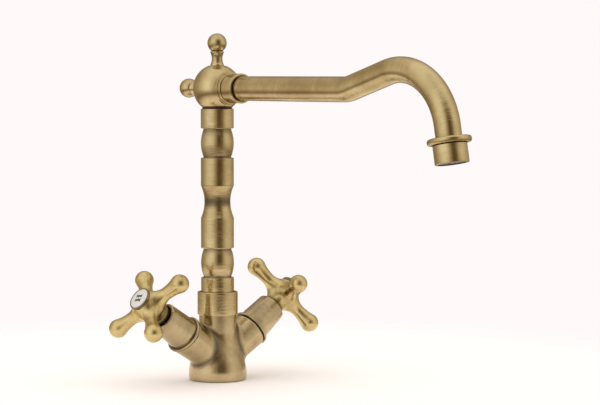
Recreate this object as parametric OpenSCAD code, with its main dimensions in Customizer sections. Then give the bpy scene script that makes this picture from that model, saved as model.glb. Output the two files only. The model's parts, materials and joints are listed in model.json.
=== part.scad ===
// Deck-mounted two-handle mixer tap with a turned column, a swivelling swan-neck spout and cross handles.
// Z is up and the deck is z = 0. The spout points to -Y, the hot valve to -X and the cold valve to +X.

/* [Overall] */
// Height of the ball head's centre above the deck
head_z = 247.8; // [206:0.1:298]
// Distance from the column's axis to the centre of the spout's open end
reach = 280.3; // [233:0.1:337]
// Height of the ball head's centre above the spout's open end
outlet_drop = 55.3; // [50:0.1:67]

/* [Body] */
// Diameter of the foot that stands on the deck
base_d = 49.2; // [46:0.1:60]
// Diameter of the body's neck above the flare
neck_d = 31.6; // [30:0.1:38]
// Height where the flare leaves the foot
flare_from = 6; // [5:0.1:8]
// Height where the flare meets the neck
flare_to = 41; // [34:0.1:48]
// Height of the body's top face, inside the collar
body_h = 62; // [58:0.1:72]
// Rounding of the foot's lower edge
foot_round = 2.2; // [1:0.1:3]
// Depth of the groove that holds the base seal
seal_depth = 2; // [1.5:0.1:2.5]

/* [Valve branches] */
// Height where the two valve axes meet the column's axis
valve_z = 15.1; // [14:0.1:18.2]
// Angle of a valve axis above the deck
valve_tilt = 35.5; // [30:0.5:39]
// Length of a branch from the column's axis to its front face
branch_l = 43; // [41:0.1:52]
// Diameter of a branch at its front face
branch_d = 32; // [31:0.1:38]
// Diameter of a branch where its axis meets the column's axis
branch_root_d = 25; // [24.5:0.1:30]
// Depth of the valve chamber below the front face
chamber_l = 25.5; // [22:0.1:28]
// Radius of the threaded part of the valve cartridge
cartridge_r = 10.5; // [9.5:0.1:11.5]

/* [Bonnets] */
// Wall of a bonnet round the cartridge's thread
bonnet_wall = 3.4; // [2.8:0.1:4.2]
// How far the bonnet's foot ring stands out of its sleeve
trim_lip = 2.3; // [1.8:0.1:2.8]
// Thickness of the bonnet's foot ring
trim_t = 2.3; // [1.8:0.1:2.8]
// Length of a bonnet, foot ring included
bonnet_l = 30.3; // [27:0.1:36.5]
// How much the sleeve's radius narrows from its foot to its front
bonnet_taper = 1.7; // [1:0.1:2.2]
// Rounding of the bonnet's front shoulder
bonnet_round = 1.8; // [1:0.1:2]
// Thickness of the black seal under the bonnet
bonnet_seal_t = 0.8; // [0.6:0.1:1.2]

/* [Handles] */
// Distance from the bonnet's front face to the plane of the cross
cross_rise = 16.2; // [13.5:0.1:19.5]
// Distance from the handle's axis to the tip of an arm
arm_reach = 41.5; // [35:0.1:50]
// Diameter of the bulb at an arm's tip
bulb_d = 15.8; // [13:0.1:18]
// Diameter of an arm where it is thinnest
arm_neck_d = 9.4; // [8:0.1:11]
// Radius of the hub's skirt, which turns inside the bonnet's mouth
skirt_r = 8.9; // [7.5:0.1:9.5]
// Distance from the cross plane to the top of the hub
hub_rise = 9.6; // [8:0.1:11.5]
// Radius of the index ring
index_r = 9.75; // [8.9:0.05:11.5]
// Height of the index ring above the hub
index_h = 3.2; // [2.7:0.1:3.8]
// Rest position of the hot cross about its axis
hot_turn = 45.4; // [0:0.1:90]
// Rest position of the cold cross about its axis
cold_turn = 63.7; // [0:0.1:90]

/* [Column] */
// Radius of the column's drums and beads
column_r = 14; // [13.5:0.1:16.5]
// Wall of the loose collar round the column's foot
collar_wall = 3.1; // [2.6:0.1:3.7]
// Length of the collar
collar_l = 19.7; // [17:0.1:23]
// How far the collar hangs over the body's neck
collar_overlap = 6.3; // [5:0.1:7.5]
// Length of the plain drum that shows above the collar
foot_drum_l = 12; // [10:0.1:14.5]
// Length of each bead
bead_l = 21.8; // [18:0.1:24]
// Radius of a bead at its two ends
bead_end_r = 12; // [11.5:0.1:12.4]
// Width of each groove beside a bead
groove_w = 1.6; // [1.2:0.1:2]
// Radius at the bottom of each groove
groove_r = 11.8; // [11.6:0.05:12]
// Radius of the waist at its thinnest
waist_r = 11; // [9.5:0.1:12]
// Share of the baluster taken by its lower drum
lower_drum_part = 0.335; // [0.25:0.005:0.4]
// Share of the baluster taken by its waist
waist_part = 0.36; // [0.3:0.005:0.45]
// Length of the head collar under the swivel
head_collar_l = 16.6; // [14:0.1:20]
// Radius of the water way up the column
waterway_r = 7.5; // [6:0.1:8]

/* [Swivel] */
// Radius of the swivel stem
stem_r = 10; // [9:0.05:10.4]
// Length of the stem inside the column
stem_l = 30; // [26:0.1:34]
// Thickness of the swivel washer
washer_t = 1.3; // [1:0.1:1.6]
// Radius of the washer and of the ball's flat underside
washer_r = 12.7; // [12:0.1:13.8]

/* [Ball head] */
// Radius of the ball
ball_r = 20.4; // [18:0.1:24]
// Distance from the ball's centre to the flat under each finial
finial_seat = 19.2; // [17:0.1:19.3]
// Radius of the first boss ring on the ball
boss_r = 14.1; // [13.8:0.1:16.5]
// Distance from the ball's centre to the front of the first boss ring
boss_l = 16.5; // [15:0.1:18]

/* [Finials] */
// Radius of a finial's foot
finial_foot_r = 5.8; // [5:0.1:6.5]
// Radius of a finial's neck
finial_neck_r = 4.5; // [4:0.1:5]
// Length of a finial below its ball
finial_stem_l = 12.6; // [11:0.1:14]
// Radius of a finial's ball
finial_ball_r = 8.2; // [7:0.1:9.5]

/* [Spout] */
// Radius of the spout tube
tube_r = 10.3; // [8.6:0.05:10.8]
// Wall of the spout tube
tube_wall = 1.2; // [1:0.1:1.5]
// Length of the nut that holds the tube in the ball
nut_l = 13; // [11:0.1:15.5]
// Wall of the nut outside the ball's spigot
nut_wall = 0.9; // [0.8:0.05:1.1]
// Slope of the rising part of the spout
rise_angle = 16.6; // [14:0.1:20]
// Length of the straight rising part
rise_l = 42.4; // [35:0.1:51]
// Centreline radius of the first, upward bend
first_bend_r = 32; // [27:0.5:38]
// Centreline radius of the big bend over the outlet
big_bend_r = 52; // [44:0.5:56]
// Angle of the outlet from the vertical, leaning outwards
outlet_lean = 10.6; // [9:0.1:12.7]

/* [Outlet] */
// Distance from the open end to the underside of the outlet flange
flange_z = 15.2; // [13.5:0.1:17]
// Thickness of the outlet flange
flange_t = 4.8; // [4:0.1:5.8]
// Radius of the outlet flange
flange_r = 17.3; // [15.5:0.1:20]
// Radius of the aerator shell
shell_r = 13.3; // [13:0.05:14.5]

/* [Inlets and fixing] */
// Distance of each inlet from the middle plane
inlet_x = 9.5; // [8.5:0.1:11]
// Distance of the inlets in front of the column's axis
inlet_y = 4; // [3:0.1:5]
// Radius of the wall of an inlet's M10 x 1 thread
inlet_r = 4.5; // [4:0.1:5]
// Depth of an inlet's thread
inlet_l = 12; // [10:0.1:14]
// Distance of the fixing stud behind the column's axis
stud_y = 11; // [10:0.1:12]
// Radius of the wall of the fixing stud's M8 thread
stud_r = 3.4; // [3:0.1:4]
// Depth of the fixing stud's thread
stud_l = 14; // [12:0.1:16]

/* [Fits] */
// Radial gap of a turning shaft in its bore
running_gap = 0.05; // [0.02:0.01:0.08]
// Radial gap of a thread or spigot in its hole
thread_gap = 0.1; // [0.05:0.01:0.15]
// Gap between pieces that pass each other without touching
free_gap = 0.3; // [0.25:0.05:0.5]
// Radial gap of a soft seal in its groove
seal_gap = 0.05; // [0.02:0.01:0.1]

/* [Hidden] */
$fn = 72;
eps = 0.01;
cut = 1;
brass = [0.66, 0.54, 0.34];
polished = [0.76, 0.63, 0.36];
bronze = [0.36, 0.29, 0.20];
black = [0.08, 0.08, 0.08];
white = [0.93, 0.93, 0.90];
grey = [0.55, 0.55, 0.55];

// Heights up the column
collar_z = body_h - collar_overlap;
foot_drum_top = collar_z + collar_l + foot_drum_l;
lower_bead_z = foot_drum_top + groove_w;
baluster_z = lower_bead_z + bead_l + groove_w;
ball_flat = sqrt(pow(ball_r, 2) - pow(washer_r, 2));
washer_z = head_z - ball_flat - washer_t;
head_collar_z = washer_z - head_collar_l;
upper_bead_z = head_collar_z - groove_w - bead_l;
baluster_l = upper_bead_z - groove_w - baluster_z;
waist_z = baluster_z + lower_drum_part * baluster_l;
waist_l = waist_part * baluster_l;

// The column's foot spigot and its seal
spigot_r = column_r - 3.5;
spigot_l = 12;
spigot_z = body_h - spigot_l;
o_ring_r = 0.8;
o_ring_groove = 2 * o_ring_r + 0.4;
column_seal_z = spigot_z + 2.2;

// The swivel
stem_z = washer_z - stem_l;
socket_z = stem_z - free_gap;
stem_bore_r = 6.5;
stem_seal_z = [stem_z + 3, stem_z + 9];
stem_thread_l = 7;
screw_z = washer_z - 8.7;
screw_groove_r = stem_r - 1.4;
screw_r = 2;
screw_tip_r = 1.3;

// The ball head, the nut and the tube inside it
spigot_out_r = tube_r + thread_gap + 1;
nut_r = spigot_out_r + thread_gap + nut_wall;
second_boss_r = boss_r - 0.8;
second_boss_l = 2.9;
spigot_from = boss_l + second_boss_l;
nut_from = spigot_from + 0.2;
nut_to = nut_from + nut_l;
lip_t = 1.6;
lip_gap = 0.45;
olive_l = 2.6;
spigot_to = nut_to - lip_t - olive_l - 0.2;
tube_from = stem_r + 2;
finial_stud_r = 2;
finial_stud_l = 6;

// The spout's centreline: a level run, a rise, a big bend and a leaning outlet leg
first_tangent = first_bend_r * tan(rise_angle / 2);
big_sweep = 90 + rise_angle - outlet_lean;
big_tangent = big_bend_r * tan(big_sweep / 2);
corner_rise = first_tangent + rise_l + big_tangent;
outlet_z = head_z - outlet_drop;
corner_z = head_z + corner_rise * sin(rise_angle);
outlet_leg = (corner_z - outlet_z) / cos(outlet_lean);
corner_y = reach - outlet_leg * sin(outlet_lean);
first_corner_y = corner_y - corner_rise * cos(rise_angle);
rise_dir = [cos(rise_angle), sin(rise_angle)];
leg_dir = [sin(outlet_lean), -cos(outlet_lean)];
first_bend_centre = [first_corner_y - first_tangent, head_z + first_bend_r];
rise_start = [first_corner_y, head_z] + first_tangent * rise_dir;
big_bend_start = rise_start + rise_l * rise_dir;
big_bend_centre = big_bend_start + big_bend_r * [rise_dir[1], -rise_dir[0]];
leg_start = [corner_y, corner_z] + big_tangent * leg_dir;
leg_l = outlet_leg - big_tangent;
tube_sides = 40;

// The outlet, measured up the leg from the open end
nozzle_r = shell_r - 1.4;
nozzle_z = 5.8;
tube_end_z = nozzle_z + 3.2;
insert_z = 0.8;
insert_seat_z = 2.2;
insert_t = 1.6;

// The valve axis, measured from the column's axis
chamber_r = cartridge_r + thread_gap;
seat_t = branch_l - chamber_l;
seat_hole_r = 5.5;
seat_hole_t = inlet_x / cos(valve_tilt) - 1;
passage_r = 3;
passage_z = valve_z + seat_t * sin(valve_tilt) + chamber_r * cos(valve_tilt) + 0.6;
mixing_z = passage_z - passage_r - 0.5;
supply_z = valve_z + inlet_x * tan(valve_tilt);

// The cartridge, from its seat to its top
seat_seal_t = 2;
disc_t = 3;
cage_r = cartridge_r - 1.6;
cage_bore_r = cage_r - 1.2;
fixed_disc_t0 = seat_t + seat_seal_t;
moving_disc_t0 = fixed_disc_t0 + disc_t;
driver_t0 = moving_disc_t0 + disc_t;
driver_l = 3.7;
cage_top_t = driver_t0 + driver_l + free_gap;
hex_t = 3.2;
hex_corner_r = cartridge_r + 1.9;
bonnet_thread_t0 = branch_l + 5.2;
bonnet_thread_l = 7.8;
cartridge_top_t = bonnet_thread_t0 + bonnet_thread_l + 3;
spindle_r = 4;
spindle_seal_t = [branch_l + 0.6, branch_l + 4.6];
clip_t0 = cartridge_top_t + 0.1;
clip_t = 0.8;

// The bonnet
bonnet_bore_r = cartridge_r + 0.6;
bonnet_r = bonnet_bore_r + bonnet_wall;
bonnet_foot_bore_r = hex_corner_r + free_gap;
bonnet_t0 = branch_l + bonnet_seal_t;
bonnet_front_t = bonnet_t0 + bonnet_l;
mouth_t = 3;
mouth_r = skirt_r + 1.2;

// The handle, from its skirt to its index
cross_t = bonnet_front_t + cross_rise;
skirt_t = bonnet_front_t - 4.5;
hub_top_t = cross_t + hub_rise;
spline_top_t = cross_t - 4.3;
web_t = 2.8;
counterbore_r = 5.2;
index_shank_r = index_r - 2.9;
index_shank_l = 3.8;
index_seat = 1.6;
index_disc_r = index_r - 0.95;
spline_teeth = 20;
spline_root_r = 3.6;
bulb_r = bulb_d / 2;
bulb_at = arm_reach - bulb_r;
arm_neck_at = 16.5;
arm_join_at = bulb_at - bulb_r * 0.5;
arm_join_r = sqrt(pow(bulb_r, 2) - pow(bulb_at - arm_join_at, 2));
arm_join_slope = (bulb_at - arm_join_at) / arm_join_r;

// A point that moves round an arc from angle a0 to angle a1
function arc(centre, r, a0, a1, steps) =
    [for (i = [0 : steps]) let (a = a0 + (a1 - a0) * i / steps) centre + r * [cos(a), sin(a)]];

// A crowned or hollow stretch of a turned profile: r_end at both ends, r_mid half way
function bow(z0, z1, r_end, r_mid, steps) =
    [for (i = [0 : steps]) let (u = 2 * i / steps - 1) [r_mid + (r_end - r_mid) * u * u, z0 + (z1 - z0) * i / steps]];

// Radius of a cross arm between its neck and its bulb, tangent to both
function arm_radius(x) =
    let (l = arm_join_at - arm_neck_at, u = (x - arm_neck_at) / l)
    arm_neck_d / 2 * (1 + 2 * u) * pow(1 - u, 2) + arm_join_r * u * u * (3 - 2 * u)
    + arm_join_slope * l * u * u * (u - 1);

// Star outline of the spindle's spline
function spline(gap) =
    [for (i = [0 : 2 * spline_teeth - 1]) let (r = (i % 2 == 0 ? spindle_r - 0.1 : spline_root_r) + gap,
     a = 180 * i / spline_teeth) r * [cos(a), sin(a)]];

module turned(profile) {
    rotate_extrude() polygon(profile);
}

module ring(outer_r, inner_r, z0, z1) {
    translate([0, 0, z0]) difference() {
        cylinder(h = z1 - z0, r = outer_r);
        translate([0, 0, -cut]) cylinder(h = z1 - z0 + 2 * cut, r = inner_r);
    }
}

// A hole from z0 to z1, run past z1 by more when it breaks out there
module bore(r, z0, z1, more = 0) {
    translate([0, 0, z0]) cylinder(h = z1 - z0 + more, r = r);
}

module o_ring(centre_r, section_r, z) {
    translate([0, 0, z]) rotate_extrude() translate([centre_r, 0]) circle(r = section_r);
}

// Frames: a valve's axis, the spout's level axis, the spout's middle plane and the outlet's axis
module on_valve(side) {
    translate([0, 0, valve_z]) rotate([0, side * (90 - valve_tilt), 0]) children();
}

module along_spout() {
    translate([0, 0, head_z]) rotate([90, 0, 0]) children();
}

module in_spout_plane() {
    rotate([90, 0, -90]) children();
}

module at_outlet() {
    translate([0, -reach, outlet_z]) rotate([-outlet_lean, 0, 0]) children();
}

// ---- Body and column ----

module mixer_body() {
    base_r = base_d / 2;
    neck_r = neck_d / 2;
    flare = [for (i = [0 : 18]) let (u = i / 18)
        [neck_r + (base_r - neck_r) * (1 + cos(180 * u)) / 2, flare_from + (flare_to - flare_from) * u]];
    foot = arc([base_r - foot_round, foot_round], foot_round, -90, 0, 5);
    color(brass) difference() {
        union() {
            turned(concat([[0, 0]], foot, flare, [[neck_r, body_h], [0, body_h]]));
            for (side = [-1, 1]) on_valve(side) cylinder(h = branch_l, d1 = branch_root_d, d2 = branch_d);
        }
        bore(spigot_r + thread_gap, spigot_z - 1, body_h, cut);
        bore(waterway_r, mixing_z, spigot_z);
        translate([0, 0, -cut]) base_groove(seal_depth + cut, 0);
        for (side = [-1, 1]) {
            on_valve(side) bore(chamber_r, seat_t, branch_l, cut);
            on_valve(side) bore(seat_hole_r, seat_hole_t, seat_t, eps);
            translate([side * inlet_x, -inlet_y, 0]) bore(inlet_r, -cut, inlet_l);
            translate([side * inlet_x, -inlet_y, 0]) bore(inlet_r - 1.2, inlet_l - eps, supply_z);
            translate([0, 0, passage_z]) rotate([0, side * 90, 0])
                bore(passage_r, 0, seat_t * cos(valve_tilt));
        }
        translate([0, stud_y, 0]) bore(stud_r, -cut, stud_l);
    }
}

module base_groove(depth, gap) {
    ring(base_d / 2 - foot_round - 1 - gap, base_d / 2 - foot_round - 4 + gap, 0, depth);
}

module base_seal() {
    color(black) base_groove(seal_depth - seal_gap, seal_gap);
}

module neck_collar() {
    collar_r = column_r + collar_wall;
    color(brass) difference() {
        translate([0, 0, collar_z]) cylinder(h = collar_l, r = collar_r);
        bore(neck_d / 2 + thread_gap, collar_z - cut, body_h);
        bore(column_r + thread_gap, body_h - eps, collar_z + collar_l, cut);
    }
}

module column() {
    e = 0.8;
    drum_edges = [[column_r, baluster_z + e], [column_r, waist_z]];
    upper_drum = [[column_r, waist_z + waist_l], [column_r, upper_bead_z - groove_w - e]];
    profile = concat(
        [[0, spigot_z], [spigot_r, spigot_z], [spigot_r, body_h], [column_r, body_h]],
        [[column_r, foot_drum_top - e], [column_r - e, foot_drum_top], [groove_r, foot_drum_top]],
        [[groove_r, lower_bead_z]],
        bow(lower_bead_z, lower_bead_z + bead_l, bead_end_r, column_r, 12),
        [[groove_r, lower_bead_z + bead_l], [groove_r, baluster_z], [column_r - e, baluster_z]],
        drum_edges,
        bow(waist_z, waist_z + waist_l, column_r, waist_r, 12),
        upper_drum,
        [[column_r - e, upper_bead_z - groove_w], [groove_r, upper_bead_z - groove_w], [groove_r, upper_bead_z]],
        bow(upper_bead_z, upper_bead_z + bead_l, bead_end_r, column_r, 12),
        [[groove_r, upper_bead_z + bead_l], [groove_r, head_collar_z], [column_r - e, head_collar_z]],
        [[column_r, head_collar_z + e], [column_r, washer_z - e], [column_r - e, washer_z], [0, washer_z]]
    );
    color(brass) difference() {
        turned(profile);
        bore(waterway_r, spigot_z - cut, socket_z + eps);
        bore(stem_r + running_gap, socket_z, washer_z, cut);
        column_seal_groove();
        translate([0, 0, screw_z]) rotate([-90, 0, 0])
            bore(screw_r + seal_gap, stem_r - cut, column_r, cut);
    }
}

module column_seal_groove() {
    translate([0, 0, column_seal_z - o_ring_groove / 2])
        ring(spigot_r + cut, spigot_r + thread_gap - 2 * o_ring_r - 2 * seal_gap, 0, o_ring_groove);
}

module column_seal() {
    color(black) o_ring(spigot_r + thread_gap - o_ring_r - seal_gap, o_ring_r, column_seal_z);
}

module swivel_washer() {
    color(black) ring(washer_r, stem_r + free_gap, washer_z, washer_z + washer_t);
}

module spout_grub_screw() {
    color(grey) translate([0, 0, screw_z]) rotate([-90, 0, 0]) difference() {
        union() {
            bore(screw_tip_r, screw_groove_r + free_gap, stem_r + 1);
            bore(screw_r, stem_r + free_gap, column_r - 0.5);
        }
        translate([0, 0, column_r - 2]) cylinder(h = 2 + cut, d = 2.3, $fn = 6);
    }
}

// ---- Ball head and spout ----

module finial() {
    neck_to = finial_stem_l - 1.9;
    ball_z = finial_stem_l + 0.78 * finial_ball_r;
    neck = bow(0.9, neck_to, finial_foot_r - 0.1, finial_neck_r, 10);
    ball = arc([0, ball_z], finial_ball_r, -51, 90, 16);
    union() {
        turned(concat(
            [[0, 0], [finial_foot_r, 0]], neck,
            [[finial_foot_r, neck_to + 0.3], [finial_foot_r, neck_to + 1.2], [finial_neck_r, neck_to + 1.5]],
            [[finial_neck_r, finial_stem_l - 0.2]], ball
        ));
        bore(finial_stud_r, -finial_stud_l, eps);
    }
}

module top_finial() {
    color(brass) translate([0, 0, head_z + finial_seat]) finial();
}

module back_finial() {
    color(brass) translate([0, finial_seat, head_z]) rotate([-90, 0, 0]) finial();
}

module head_ball() {
    stud_bore = finial_stud_l + 0.5;
    color(brass) difference() {
        union() {
            translate([0, 0, head_z]) sphere(r = ball_r);
            along_spout() {
                bore(boss_r, 4, boss_l);
                bore(second_boss_r, 4, spigot_from);
                bore(spigot_out_r, 4, spigot_to);
            }
        }
        bore(2 * ball_r, head_z - 2 * ball_r, head_z - ball_flat);
        bore(2 * ball_r, head_z + finial_seat, head_z + 2 * ball_r);
        translate([0, 0, head_z]) rotate([-90, 0, 0]) bore(2 * ball_r, finial_seat, 2 * ball_r);
        bore(stem_r + thread_gap, head_z - ball_flat - cut, head_z - ball_flat + stem_thread_l + 0.2);
        bore(waterway_r, head_z - ball_flat, head_z + waterway_r - 2);
        along_spout() {
            bore(waterway_r, 0, tube_from);
            bore(tube_r + thread_gap, tube_from - 0.2, spigot_to, cut);
        }
        translate([0, 0, head_z]) {
            bore(finial_stud_r + thread_gap, finial_seat - stud_bore, finial_seat, cut);
            rotate([-90, 0, 0]) bore(finial_stud_r + thread_gap, finial_seat - stud_bore, finial_seat, cut);
        }
    }
}

module swivel_stem() {
    stem_top = head_z - ball_flat + stem_thread_l;
    color(brass) difference() {
        bore(stem_r, stem_z, stem_top);
        bore(stem_bore_r, stem_z - cut, stem_top, cut);
        for (z = stem_seal_z) translate([0, 0, z - o_ring_groove / 2])
            ring(stem_r + cut, stem_r - 2 * o_ring_r, 0, o_ring_groove);
        translate([0, 0, screw_z - screw_tip_r - free_gap])
            ring(stem_r + cut, screw_groove_r, 0, 2 * (screw_tip_r + free_gap));
    }
}

module swivel_seals() {
    color(black) for (z = stem_seal_z) o_ring(stem_r - o_ring_r, o_ring_r - seal_gap, z);
}

module spout_nut() {
    color(brass) along_spout() difference() {
        union() {
            bore(nut_r, nut_from, nut_to);
            bore(nut_r + 0.25, nut_to - lip_t, nut_to);
        }
        bore(spigot_out_r + thread_gap, nut_from - cut, nut_to - lip_t);
        bore(tube_r + lip_gap, nut_to - lip_t - eps, nut_to, cut);
    }
}

module spout_olive() {
    inner_r = tube_r + 0.02;
    outer_r = spigot_out_r;
    color(polished) along_spout() translate([0, 0, spigot_to + 0.1]) turned([
        [inner_r, 0], [inner_r + 0.3, 0], [outer_r, olive_l * 0.35], [outer_r, olive_l * 0.65],
        [inner_r + 0.3, olive_l], [inner_r, olive_l]
    ]);
}

// Points of the spout's centreline, each with its heading above level
spine = concat(
    [[[tube_from, head_z], 0]],
    [for (i = [0 : 5]) let (a = rise_angle * i / 5) [first_bend_centre + first_bend_r * [sin(a), -cos(a)], a]],
    [for (i = [0 : 22]) let (a = rise_angle - big_sweep * i / 22) [big_bend_centre + big_bend_r * [-sin(a), cos(a)], a]],
    [[leg_start + (leg_l - tube_end_z) * leg_dir, outlet_lean - 90]]
);

// One ring of points round the spine
function tube_ring(stop, r) =
    [for (i = [0 : tube_sides - 1]) let (a = 360 * i / tube_sides)
        [stop[0][0] - r * cos(a) * sin(stop[1]), stop[0][1] + r * cos(a) * cos(stop[1]), r * sin(a)]];

// The two triangles between neighbouring points of ring a and ring b, turned over when flip is 1
function band(a, b, flip) =
    [for (i = [0 : tube_sides - 1]) let (k = (i + 1) % tube_sides)
        each flip == 1 ? [[a + i, b + k, a + k], [a + i, b + i, b + k]] : [[a + i, a + k, b + k], [a + i, b + k, b + i]]];

module spout_tube() {
    rings = len(spine);
    inner = rings * tube_sides;
    last = (rings - 1) * tube_sides;
    skin = [for (j = [0 : rings - 2]) each band(j * tube_sides, (j + 1) * tube_sides, 0)];
    bore_skin = [for (j = [0 : rings - 2]) each band(inner + j * tube_sides, inner + (j + 1) * tube_sides, 1)];
    color(brass) in_spout_plane() polyhedron(
        points = [for (r = [tube_r, tube_r - tube_wall]) for (stop = spine) each tube_ring(stop, r)],
        faces = concat(skin, bore_skin, band(0, inner, 1), band(last, inner + last, 0))
    );
}

module outlet_flange() {
    round_r = flange_t * 0.42;
    top = flange_z + flange_t;
    rim = arc([flange_r - round_r, flange_z + round_r], round_r, -90, 0, 5);
    rim_top = arc([flange_r - round_r, top - round_r], round_r, 0, 90, 5);
    color(brass) at_outlet() difference() {
        turned(concat(
            [[0, nozzle_z], [nozzle_r, nozzle_z], [nozzle_r, flange_z]], rim, rim_top, [[0, top]]
        ));
        bore(tube_r - tube_wall, nozzle_z - cut, top);
        bore(tube_r + seal_gap, tube_end_z - 0.1, top, cut);
    }
}

module aerator_shell() {
    e = 0.6;
    top = flange_z - 0.2;
    color(brass) at_outlet() difference() {
        turned([
            [0, 0], [shell_r - e, 0], [shell_r, e], [shell_r, top - e], [shell_r - e, top], [0, top]
        ]);
        bore(nozzle_r - 1.1, -cut, insert_seat_z + eps);
        bore(nozzle_r + thread_gap, insert_seat_z, top, cut);
    }
}

module aerator_insert() {
    hole_r = 1.25;
    pitch = 3.4;
    color(grey) at_outlet() difference() {
        union() {
            bore(nozzle_r - 1.1 - thread_gap, insert_z, insert_seat_z + insert_t);
            bore(nozzle_r, insert_seat_z, insert_seat_z + insert_t);
        }
        bore(hole_r, -cut, insert_seat_z + insert_t, cut);
        for (circle_no = [1, 2]) for (i = [0 : 6 * circle_no - 1]) rotate([0, 0, 60 * i / circle_no])
            translate([pitch * circle_no, 0, 0]) bore(hole_r, -cut, insert_seat_z + insert_t, cut);
    }
}

module aerator_washer() {
    color(black) at_outlet()
        ring(nozzle_r, tube_r - tube_wall, insert_seat_z + insert_t, nozzle_z);
}

// ---- Valves: side is -1 for hot and 1 for cold ----

module bonnet(side) {
    front_r = bonnet_r - bonnet_taper;
    trim_r = bonnet_r + trim_lip;
    trim_top = bonnet_t0 + trim_t;
    shoulder = arc([front_r - bonnet_round, bonnet_front_t - bonnet_round], bonnet_round, 0, 90, 6);
    color(brass) on_valve(side) difference() {
        turned(concat(
            [[0, bonnet_t0], [trim_r, bonnet_t0], [trim_r, trim_top - 0.5], [trim_r - 0.5, trim_top]],
            [[bonnet_r - 0.7, trim_top], [bonnet_r - 0.7, trim_top + 0.8], [bonnet_r, trim_top + 0.8]],
            shoulder, [[0, bonnet_front_t]]
        ));
        bore(bonnet_foot_bore_r, bonnet_t0 - cut, bonnet_thread_t0 - 0.3);
        bore(bonnet_bore_r, bonnet_thread_t0 - 0.3 - eps, bonnet_front_t - mouth_t);
        bore(mouth_r, bonnet_front_t - mouth_t - eps, bonnet_front_t, cut);
    }
}

module bonnet_seal(side) {
    color(black) on_valve(side)
        ring(bonnet_r + trim_lip - 0.9, bonnet_foot_bore_r, branch_l, branch_l + bonnet_seal_t);
}

module cartridge(side) {
    window_w = 9;
    color(polished) on_valve(side) difference() {
        union() {
            bore(cage_r, fixed_disc_t0, cage_top_t + 1);
            bore(cartridge_r, cage_top_t, branch_l - eps);
            translate([0, 0, branch_l]) cylinder(h = hex_t, r = hex_corner_r, $fn = 6);
            bore(cartridge_r, branch_l - 0.5, bonnet_thread_t0 + bonnet_thread_l);
            bore(6.5, branch_l, cartridge_top_t);
        }
        bore(cage_bore_r, fixed_disc_t0 - cut, cage_top_t);
        bore(spindle_r + running_gap, cage_top_t - cut, cartridge_top_t, cut);
        translate([0, 0, driver_t0 + driver_l / 2])
            cube([3 * cage_r, window_w, driver_l], center = true);
        cartridge_seal_groove();
    }
}

module cartridge_seal_groove() {
    ring(cartridge_r + cut, cartridge_r - 1.5, branch_l - 2, branch_l - eps);
}

module cartridge_seal(side) {
    color(black) on_valve(side) o_ring(cartridge_r - 0.75, 0.7, branch_l - 1);
}

module seat_seal(side) {
    color(black) on_valve(side) ring(cage_r, seat_hole_r, seat_t, fixed_disc_t0);
}

// Two facing windows through a ceramic disc, each half_angle to either side of its middle
module disc_windows(middle, half_angle, inner_r, outer_r, t0) {
    for (a = [middle, middle + 180]) rotate([0, 0, a - half_angle]) translate([0, 0, t0 - cut])
        rotate_extrude(angle = 2 * half_angle)
            translate([inner_r, 0]) square([outer_r - inner_r, disc_t + 2 * cut]);
}

module fixed_disc(side) {
    color(white) on_valve(side) difference() {
        bore(cage_bore_r - seal_gap, fixed_disc_t0, moving_disc_t0);
        disc_windows(0, 32, 2.4, 5.3, fixed_disc_t0);
    }
}

module moving_disc(side) {
    color(white) on_valve(side) difference() {
        bore(cage_bore_r - free_gap, moving_disc_t0, driver_t0);
        disc_windows(90, 38, 2.2, cage_bore_r + cut, moving_disc_t0);
    }
}

module spindle(side, turn) {
    bar_w = 5.5;
    top = spline_top_t;
    color(polished) on_valve(side) difference() {
        union() {
            intersection() {
                bore(cage_bore_r - free_gap - 0.1, driver_t0, driver_t0 + driver_l);
                translate([-cage_r, -bar_w / 2, driver_t0]) cube([2 * cage_r, bar_w, driver_l]);
            }
            bore(spindle_r, driver_t0, skirt_t - free_gap);
            translate([0, 0, skirt_t - free_gap - eps]) rotate([0, 0, turn])
                linear_extrude(height = top - skirt_t + free_gap + eps) polygon(spline(0));
        }
        for (t = spindle_seal_t) translate([0, 0, t]) ring(spindle_r + cut, spindle_r - 1.6, 0, 1.8);
        ring(spindle_r + cut, spindle_r - 0.8, clip_t0, clip_t0 + clip_t + 0.1);
        bore(screw_r + thread_gap, top - 12, top, cut);
    }
}

module spindle_seals(side) {
    color(black) on_valve(side) for (t = spindle_seal_t) o_ring(spindle_r - 0.8, 0.75, t + 0.9);
}

module spindle_clip(side) {
    color(grey) on_valve(side) difference() {
        ring(spindle_r + 1.6, spindle_r - 0.75, clip_t0, clip_t0 + clip_t);
        translate([0, -1.5, clip_t0 - cut]) cube([3 * spindle_r, 3, clip_t + 2 * cut]);
    }
}

module arm() {
    tip = arc([bulb_at, 0], bulb_r, 120, 0, 12);
    taper = [for (i = [0 : 7]) let (x = arm_neck_at + (arm_join_at - arm_neck_at) * i / 8) [x, arm_radius(x)]];
    outline = concat([[0, 0], [0, arm_neck_d / 2]], taper, tip);
    rotate([0, 90, 0]) rotate_extrude() polygon([for (p = outline) [p[1], p[0]]]);
}

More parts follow.
